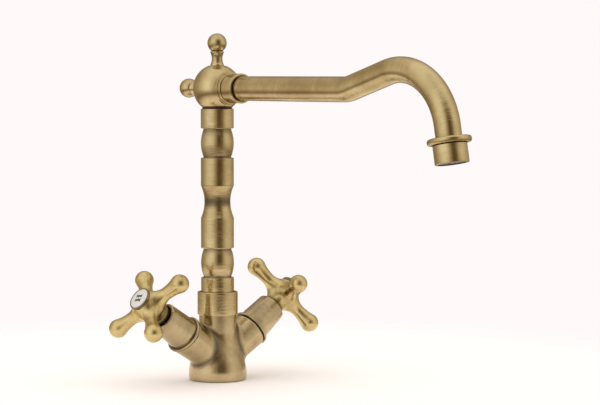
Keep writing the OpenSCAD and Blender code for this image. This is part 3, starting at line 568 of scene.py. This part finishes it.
head = {"z": 247.8, "ball": 20.4, "flat": 19.2, "boss": 14.1, "bossTo": 16.5, "secondBoss": 13.3, "secondTo": 19.4,
        "spigot": 11.4, "spigotTo": 28.2}
alongSpout = frameAt((0, 0, head["z"]), (1, 0, 0), (0, 0, 1), (0, -1, 0))
startAngle = np.arcsin(head["flat"] / head["ball"])
endAngle = np.arccos(head["boss"] / head["ball"])
sphere = np.linspace(-startAngle, endAngle, 70)
ballOutline = ([(0, -head["flat"])] + [(head["ball"] * np.cos(a), head["ball"] * np.sin(a)) for a in sphere]
               + [(head["boss"], head["bossTo"], 1.0), (head["secondBoss"], head["bossTo"], 0.3),
                  (head["secondBoss"], head["secondTo"], 0.8), (head["spigot"], head["secondTo"], 0.2),
                  (head["spigot"], head["spigotTo"], 0.3), (0, head["spigotTo"])])
ballPiece = turned("ballHead", ballOutline, alongSpout, turnedBrass, "swivel_spout")


# Cuts a closed piece with a level plane and closes the cut; keepAbove says which side stays
def levelCut(piece, z, keepAbove):
    shape = bmesh.new()
    shape.from_mesh(piece.data)
    everything = shape.verts[:] + shape.edges[:] + shape.faces[:]
    cut = bmesh.ops.bisect_plane(shape, geom=everything, plane_co=(0, 0, z * mm), plane_no=(0, 0, 1),
                                 clear_outer=not keepAbove, clear_inner=keepAbove)
    rim = [item for item in cut["geom_cut"] if isinstance(item, bmesh.types.BMEdge)]
    bmesh.ops.contextual_create(shape, geom=rim)
    shape.to_mesh(piece.data)
    shape.free()
    piece.data.set_sharp_from_angle(angle=np.radians(32))


levelCut(ballPiece, head["z"] + head["flat"], False)
levelCut(ballPiece, boxOf("head_ball")[0][2], True)
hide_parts("head_ball")

finial = {"foot": 5.8, "neck": 4.5, "stem": 12.6, "ball": 8.2}


def finialPiece(name, place, node):
    neckTop = finial["stem"] - 1.9
    ballZ = finial["stem"] + 0.78 * finial["ball"]
    neck = bow(0.9, neckTop, finial["foot"] - 0.1, finial["neck"], 18)
    ball = [(finial["ball"] * np.cos(a), ballZ + finial["ball"] * np.sin(a))
            for a in np.radians(np.linspace(-51, 90, 40))]
    ball[-1] = (0, ballZ + finial["ball"])
    corners = ([(0, 0), (finial["foot"], 0, 0.2)] + neck
               + [(finial["foot"], neckTop + 0.3, 0.3), (finial["foot"], neckTop + 1.2, 0.4),
                  (finial["neck"], neckTop + 1.5, 0.2)] + ball)
    piece = turned(name, corners, place, turnedBrass, "swivel_spout", steps=96)
    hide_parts(node)


finialPiece("topKnob", frameAt((0, 0, head["z"] + head["flat"]), (1, 0, 0), (0, 1, 0), (0, 0, 1)), "top_finial")
finialPiece("backKnob", frameAt((0, head["flat"], head["z"]), (1, 0, 0), (0, 0, -1), (0, 1, 0)), "back_finial")
print("column and head made")

# ---- Spout ----

spout = {"tube": 10.3, "wall": 1.2, "from": 12.0, "reach": 280.3, "drop": 55.3, "rise": 16.6, "riseLength": 42.4,
         "firstBend": 32.0, "bigBend": 52.0, "lean": 10.6, "nutFrom": 19.6, "nut": 13.0, "nutRadius": 12.4,
         "tubeEnd": 9.0}


# The spout's centreline: a level run, an upward bend, a straight rise, a big bend and the outlet leg. Each point
# is (outward, height) with its heading above level.
def spoutPath():
    rise, lean = np.radians(spout["rise"]), np.radians(spout["lean"])
    firstTangent = spout["firstBend"] * np.tan(rise / 2)
    sweep = np.pi / 2 + rise - lean
    bigTangent = spout["bigBend"] * np.tan(sweep / 2)
    cornerRise = firstTangent + spout["riseLength"] + bigTangent
    cornerZ = head["z"] + cornerRise * np.sin(rise)
    leg = (cornerZ - head["z"] + spout["drop"]) / np.cos(lean)
    cornerY = spout["reach"] - leg * np.sin(lean)
    bendY = cornerY - cornerRise * np.cos(rise) - firstTangent
    level = np.stack([np.linspace(spout["from"], bendY, 60), np.full(60, head["z"]), np.zeros(60)], -1)
    a = np.linspace(0, rise, 10)[1:]
    first = np.stack([bendY + spout["firstBend"] * np.sin(a),
                      head["z"] + spout["firstBend"] * (1 - np.cos(a)), a], -1)
    slope = np.array([np.cos(rise), np.sin(rise)])
    start = first[-1, :2]
    rising = start + np.linspace(0, spout["riseLength"], 18)[1:, None] * slope
    rising = np.column_stack([rising, np.full(17, rise)])
    centre = rising[-1, :2] + spout["bigBend"] * np.array([slope[1], -slope[0]])
    a = np.linspace(rise, rise - sweep, 60)[1:]
    big = np.stack([centre[0] - spout["bigBend"] * np.sin(a), centre[1] + spout["bigBend"] * np.cos(a), a], -1)
    legL = leg - bigTangent - spout["tubeEnd"]
    down = np.array([np.sin(lean), -np.cos(lean)])
    last = big[-1, :2] + np.linspace(0, legL, 14)[1:, None] * down
    last = np.column_stack([last, np.full(13, lean - np.pi / 2)])
    return np.vstack([level, first, rising, big, last])


# A tube carried along the path: the outer wall out, the inner wall back, joined at both ends
def tubePiece():
    path = spoutPath()
    path = np.vstack([path, path[::-1]])
    half = len(path) // 2
    radius = np.concatenate([np.full(half, spout["tube"]), np.full(half, spout["tube"] - spout["wall"])])[:, None]
    angle = np.linspace(0, 2 * np.pi, 96, endpoint=False)[None]
    outward, height, heading = (path[:, k, None] for k in range(3))
    points = np.stack([radius * np.sin(angle), -(outward - radius * np.cos(angle) * np.sin(heading)),
                       height + radius * np.cos(angle) * np.cos(heading)], -1)
    along = np.concatenate([[0], np.cumsum(np.hypot(*np.diff(path[:, :2], axis=0).T))])[:, None] + 0 * angle
    along[half:] = along[:half][::-1]
    grain = np.stack([along, radius * np.cos(angle), radius * np.sin(angle)], -1).reshape(-1, 3)
    tangent = np.stack([0 * heading, -np.cos(heading), np.sin(heading)], -1) + np.zeros_like(points)
    piece = gridPiece("spoutPipe", points, tubeBrass, "swivel_spout", loop=True, grain=grain,
                      hollow=np.zeros(len(grain)), along=tangent.reshape(-1, 3))
    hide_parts("spout_tube")


tubePiece()
nutFrom, nutTo, nutR = spout["nutFrom"], spout["nutFrom"] + spout["nut"], spout["nutRadius"]
nutPiece = turned("spoutCollarNut", [
    (11.5, nutFrom, 0.2), (nutR, nutFrom, 0.5), (nutR, nutTo - 2.6, 0.3), (nutR - 0.35, nutTo - 2.3, 0.2),
    (nutR - 0.35, nutTo - 1.9, 0.2), (nutR + 0.25, nutTo - 1.6, 0.3), (nutR + 0.25, nutTo, 0.7),
    (spout["tube"] + 0.45, nutTo, 0.3), (spout["tube"] + 0.45, nutTo - 1.6, 0), (11.5, nutTo - 1.6, 0)],
    alongSpout, turnedBrass, "swivel_spout", wrap=True)
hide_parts("spout_nut")

outlet = {"flangeFrom": 15.2, "flange": 4.8, "flangeRadius": 17.28, "shell": 13.3, "nozzle": 11.9, "nozzleFrom": 5.8,
          "shellMouth": 10.8, "shellBore": 12.0, "lip": 2.2}
lean = np.radians(spout["lean"])
atOutlet = frameAt((0, -spout["reach"], head["z"] - spout["drop"]), (1, 0, 0),
                   (0, np.cos(lean), -np.sin(lean)), (0, np.sin(lean), np.cos(lean)))
flangeTop, flangeRound = outlet["flangeFrom"] + outlet["flange"], outlet["flange"] * 0.42
flangePiece = turned("outletCollar", [
    (9.1, outlet["nozzleFrom"], 0), (outlet["nozzle"], outlet["nozzleFrom"], 0.2),
    (outlet["nozzle"], outlet["flangeFrom"], 0.2), (outlet["flangeRadius"], outlet["flangeFrom"], 2.2),
    (outlet["flangeRadius"], flangeTop, 2.2), (10.35, flangeTop, 0.2), (10.35, 8.9, 0), (9.1, 8.9, 0)],
    atOutlet, turnedBrass, "swivel_spout", wrap=True)
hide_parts("outlet_flange")
shellTop = outlet["flangeFrom"] - 0.2
shellPiece = turned("aeratorSleeve", [
    (outlet["shellMouth"], 0, 0.2), (outlet["shell"], 0, 0.7), (outlet["shell"], shellTop, 0.6),
    (outlet["shellBore"], shellTop, 0.1), (outlet["shellBore"], outlet["lip"], 0),
    (outlet["shellMouth"], outlet["lip"], 0)], atOutlet, turnedBrass, "swivel_spout", wrap=True)
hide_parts("aerator_shell")
print("spout made")

# ---- Body casting ----

casting = {"foot": 24.6, "neck": 15.8, "flareFrom": 6.0, "flareTo": 41.0, "top": 62.0, "footRound": 2.6,
           "branch": 16.0, "branchRoot": 12.5, "branchLength": 43.0, "fillet": 6.0, "step": 0.85}
joints = {joint["name"]: joint for joint in record["behaviour"]["joints"]}
valves = {}
for side, joint in (("hot", "hot_turn"), ("cold", "cold_turn")):
    axis = np.array(joints[joint]["axis"])
    axis = axis if axis[2] > 0 else -axis
    origin = np.array(joints[joint]["pos_m"]) / mm
    valves[side] = (origin, np.cross((0, 1, 0), axis), axis)


def bodyField(points):
    x, y, z = points[..., 0], points[..., 1], points[..., 2]
    share = np.clip((z - casting["flareFrom"]) / (casting["flareTo"] - casting["flareFrom"]), 0, 1)
    radius = casting["neck"] + (casting["foot"] - casting["neck"]) * (1 + np.cos(np.pi * share)) / 2
    stem = (np.hypot(x, y) - radius) * 0.95
    field, crease = stem, 0
    for origin, across, axis in valves.values():
        t = (points - origin) @ axis
        off = points - origin - t[..., None] * axis
        widening = (casting["branch"] - casting["branchRoot"]) / casting["branchLength"]
        cone = np.sqrt((off ** 2).sum(-1)) - (casting["branchRoot"] + widening * t)
        cone = np.maximum(trimmed(cone, t - casting["branchLength"], 0.8), -t)
        field, used = eased(field, cone, casting["fillet"])
        crease = np.maximum(crease, used)
    field = trimmed(field, -z, casting["footRound"])
    return np.maximum(field, z - casting["top"]), crease


# Cuts a turned shape out of a closed piece, and welds the slivers that the cut leaves
def cutAway(piece, corners, place, ring):
    cutter = turned("cutter", corners, place, bodyBrass, "fixed_body", wrap=ring, steps=64)
    cut = piece.modifiers.new("cut", "BOOLEAN")
    cut.operation, cut.solver, cut.object = "DIFFERENCE", "EXACT", cutter
    whole = piece.data
    piece.data = bpy.data.meshes.new_from_object(piece.evaluated_get(bpy.context.evaluated_depsgraph_get()))
    piece.modifiers.clear()
    bpy.data.meshes.remove(whole)
    bpy.data.objects.remove(cutter)
    shape = bmesh.new()
    shape.from_mesh(piece.data)
    bmesh.ops.triangulate(shape, faces=[face for face in shape.faces if len(face.verts) > 4])
    bmesh.ops.remove_doubles(shape, verts=shape.verts, dist=underside["weld"] * mm)
    bmesh.ops.dissolve_degenerate(shape, edges=shape.edges, dist=underside["weld"] * mm)
    shape.to_mesh(piece.data)
    shape.free()


# The underside: holes as (x, y, radius, depth) for the two inlets and the stud, and the seal's groove
underside = {"holes": [(-9.5, -4, 4.5, 12), (9.5, -4, 4.5, 12), (0, 11, 3.4, 14)], "grooveIn": 18.4,
             "grooveOut": 21.4, "grooveDeep": 2, "below": -2, "weld": 0.03}


def cutUnderside(piece):
    below = underside["below"]
    for x, y, radius, deep in underside["holes"]:
        place = frameAt((x, y, 0), (1, 0, 0), (0, 1, 0), (0, 0, 1))
        cutAway(piece, [(0, below), (radius, below), (radius, deep), (0, deep)], place, False)
    inside, outside, deep = (underside[key] for key in ("grooveIn", "grooveOut", "grooveDeep"))
    cutAway(piece, [(inside, below), (outside, below), (outside, deep), (inside, deep)], upright, True)


bodyPoints, bodyQuads = fieldSurface(lambda p: bodyField(p)[0], (-53, -27, -2), (53, 27, 64), casting["step"])
flat = np.abs(bodyPoints[:, 2]) < 0.02
bodyPoints[flat, 2] = 0
# The fillets between the branches and the stem are darkened: partly patina, partly painted shade
bodyPiece = solidPiece("bodyCasting", bodyPoints, bodyQuads.tolist(), bodyBrass, "fixed_body",
                       None, bodyField(bodyPoints)[1], crease=50)
cutUnderside(bodyPiece)
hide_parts("mixer_body")
print("body cast:", len(bodyPoints), "points")

# ---- Bonnets and handles ----

bonnet = {"foot": 14.5, "front": 12.8, "from": 43.8, "length": 30.3, "rim": 2.3, "rimLength": 2.3, "mouth": 9.9,
          "mouthDepth": 3.0, "bore": 11.1, "shoulder": 2.2, "thread": 12.7, "threadTo": 47.9,
          "seamDepth": 0.3, "seamWidth": 0.5}
handle = {"crossAt": 90.3, "reach": 41.5, "bulb": 7.87, "neck": 5.4, "neckAt": 15.0, "skirt": 8.9, "skirtInside": 4.5,
          "hubTop": 9.6, "ease": 9.0, "step": 0.75}
index = {"radius": 10.1, "height": 3.2, "disc": 8.9, "seat": 1.6, "teeth": 48, "knurl": 0.26}
turns = {"hot": 45.4, "cold": 63.7}
marks = {"hot": 8.0, "cold": 0.0}      # how far each letter is turned round its valve's axis
bulbAt = handle["reach"] - handle["bulb"]
joinAt = bulbAt - handle["bulb"] * 0.34
joinRadius = np.sqrt(handle["bulb"] ** 2 - (bulbAt - joinAt) ** 2)
joinSlope = (bulbAt - joinAt) / joinRadius
skirtFrom = bonnet["from"] + bonnet["length"] - handle["skirtInside"] - handle["crossAt"]


# One arm: a club whose radius grows from its neck to its bulb along a cubic, tangent to both
def armField(along, across, height):
    share = np.clip((along - handle["neckAt"]) / (joinAt - handle["neckAt"]), 0, 1)
    span = joinAt - handle["neckAt"]
    radius = (handle["neck"] * (1 + 2 * share) * (1 - share) ** 2 + joinRadius * share ** 2 * (3 - 2 * share)
              + joinSlope * span * share ** 2 * (share - 1))
    off = np.hypot(across, height)
    club = (off - radius) * 0.9
    bulb = np.sqrt((along - bulbAt) ** 2 + off ** 2) - handle["bulb"]
    return np.where(along < joinAt, club, bulb)


# The hub's radius at each height above the cross, from inside the sleeve to the index
hubHeights = [skirtFrom - 1, -16.0, -12.0, -8.0, -4.5, -1.0, 3.0, 6.0, handle["hubTop"] + 1]
hubRadii = [handle["skirt"], handle["skirt"], handle["skirt"], 9.5, 11.0, 12.0, 11.4, 10.0, 9.2]


# The cross in its own frame: four arms eased into a hub that narrows to the skirt behind and the index in front
def crossField(points):
    x, y, z = points[..., 0], points[..., 1], points[..., 2]
    first, second = armField(np.abs(x), y, z), armField(np.abs(y), x, z)
    arms, used = eased(first, second, 3.0)
    hub = (np.hypot(x, y) - np.interp(z, hubHeights, hubRadii)) * 0.95
    hub = trimmed(hub, skirtFrom - z, 0.8)
    hub = trimmed(hub, z - handle["hubTop"], 0.8)
    field, joined = eased(arms, hub, handle["ease"])
    return field, np.maximum(used, joined)


crossLow, crossHigh = (-43.5, -43.5, skirtFrom - 2), (43.5, 43.5, handle["hubTop"] + 2)
crossPoints, crossQuads = fieldSurface(lambda p: crossField(p)[0], crossLow, crossHigh, handle["step"])
# Darkening on the cross: crease darkening that grows towards the back of the cross, partly patina and partly painted
# shade, then a painted shadow on the skirt inside the sleeve mouth
crossPatinaShade = crossField(crossPoints)[1] * np.clip(0.3 - crossPoints[:, 2] / 50, 0, 1)
sleeveMouthShadow = (-11 - crossPoints[:, 2]) / 3
crossPatinaShade = np.maximum(crossPatinaShade, np.clip(sleeveMouthShadow, 0, 1.3))
print("cross shape:", len(crossPoints), "points")


# A dome's height at a distance from its middle
def domeHeight(radius):
    return index["height"] - 0.3 + 0.75 * (1 - (radius / index["disc"]) ** 2)


# A stroke of a letter: a rectangular bar carried along a flat line and laid on the dome. Its section goes round
# the four corners of the bar.
def stroke(name, line, width, place, body):
    line = np.array(line, float)
    step = np.gradient(line, axis=0)
    step /= np.hypot(*step.T)[:, None]
    side = np.stack([-step[:, 1], step[:, 0]], -1) * width / 2
    rows = []
    for sign, lift in ((-1, -0.12), (1, -0.12), (1, 0.07), (-1, 0.07)):
        flat = line + sign * side
        rows.append(np.column_stack([flat, domeHeight(np.hypot(*flat.T)) + lift]))
    grid = place(np.stack(rows, 1))
    ends = np.stack([grid[0].mean(0), grid[-1].mean(0)])
    gridPiece(name, grid, plain["glyph"], body, poles=ends, crease=40)


def letterLines(letter):
    if letter == "H":
        stems = [[(x, y) for y in np.linspace(-2.9, 2.9, 9)] for x in (-2.0, 2.0)]
        serifs = [[(x + d, y) for d in np.linspace(-1.5, 1.5, 5)] for x in (-2.0, 2.0) for y in (-2.8, 2.8)]
        return stems + serifs + [[(x, 0) for x in np.linspace(-1.9, 1.9, 5)]]
    angles = np.radians(np.linspace(48, 312, 30))
    return [[(2.8 * np.cos(a), 2.9 * np.sin(a)) for a in angles]]


# Cuts the knurling into the side of the bezel
def knurled(radius, height, angle):
    flank = (radius > index["radius"] - 0.35) & (height > 0.7) & (height < index["height"] - 0.5)
    return np.where(flank, radius - index["knurl"] * (1 + np.cos(index["teeth"] * angle)), radius)


for side, letter in (("hot", "H"), ("cold", "C")):
    origin, across, axis = valves[side]
    alongValve = frameAt(origin, across, (0, 1, 0), axis)
    front = bonnet["from"] + bonnet["length"]
    rimTop = bonnet["from"] + bonnet["rimLength"]
    rimR = bonnet["foot"] + bonnet["rim"]
    seamR = bonnet["foot"] - bonnet["seamDepth"]
    sleeve = turned(side + "Sleeve", [
        (bonnet["thread"], bonnet["from"], 0), (rimR, bonnet["from"], 0.5), (rimR, rimTop, 0.7),
        (seamR, rimTop, 0.2), (seamR, rimTop + bonnet["seamWidth"], 0.2),
        (bonnet["foot"], rimTop + bonnet["seamWidth"], 0.3),
        (bonnet["front"], front, bonnet["shoulder"]), (bonnet["mouth"], front, 0.5),
        (bonnet["mouth"], front - bonnet["mouthDepth"], 0), (bonnet["bore"], front - bonnet["mouthDepth"], 0),
        (bonnet["bore"], bonnet["threadTo"], 0), (bonnet["thread"], bonnet["threadTo"], 0)],
        alongValve, sleeveBrass, "fixed_body", wrap=True)
    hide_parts(side + "_bonnet")

    turn = np.radians(turns[side])
    armOne = np.cos(turn) * across + np.sin(turn) * np.array([0, 1.0, 0])
    armTwo = -np.sin(turn) * across + np.cos(turn) * np.array([0, 1.0, 0])
    atCross = frameAt(origin + handle["crossAt"] * axis, armOne, armTwo, axis)
    body = side + "_turning"
    cross = solidPiece(side + "Cross", atCross(crossPoints), crossQuads.tolist(), handleBrass, body,
                       None, crossPatinaShade, crease=50)
    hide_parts(side + "_handle")

    atIndex = frameAt(origin + (handle["crossAt"] + handle["hubTop"]) * axis, armOne, armTwo, axis)
    bezel = turned(side + "Bezel", [
        (0, 0), (index["radius"] - 0.5, 0, 0.1), (index["radius"] - 0.1, 0.5, 0.1), (index["radius"], 0.8, 0.1),
        (index["radius"], index["height"] - 0.7, 0.1), (index["radius"] - 0.35, index["height"], 0.35),
        (index["disc"] + 0.06, index["height"], 0.2), (index["disc"] + 0.06, index["height"] - index["seat"], 0),
        (0, index["height"] - index["seat"])], atIndex, plain["bronze"], body, steps=384, shape=knurled)
    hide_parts(side + "_index_ring")
    base = index["height"] - index["seat"] + 0.02
    dome = [(r, domeHeight(r)) for r in np.linspace(index["disc"], 0, 24)]
    button = turned(side + "Button", [(0, base), (index["disc"], base, 0)] + dome, atIndex, plain["porcelain"], body,
                    steps=96)
    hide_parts(side + "_index_disc")
    spin = np.radians(marks[side])
    letterX = np.cos(spin) * across + np.sin(spin) * np.array([0, 1.0, 0])
    letterY = -np.sin(spin) * across + np.cos(spin) * np.array([0, 1.0, 0])
    atLetter = frameAt(origin + (handle["crossAt"] + handle["hubTop"]) * axis, letterX, letterY, axis)
    for number, line in enumerate(letterLines(letter)):
        stroke(f"{side}Mark{number}", line, 1.7 if len(line) > 5 else 0.8, atLetter, body)
print("valves made")
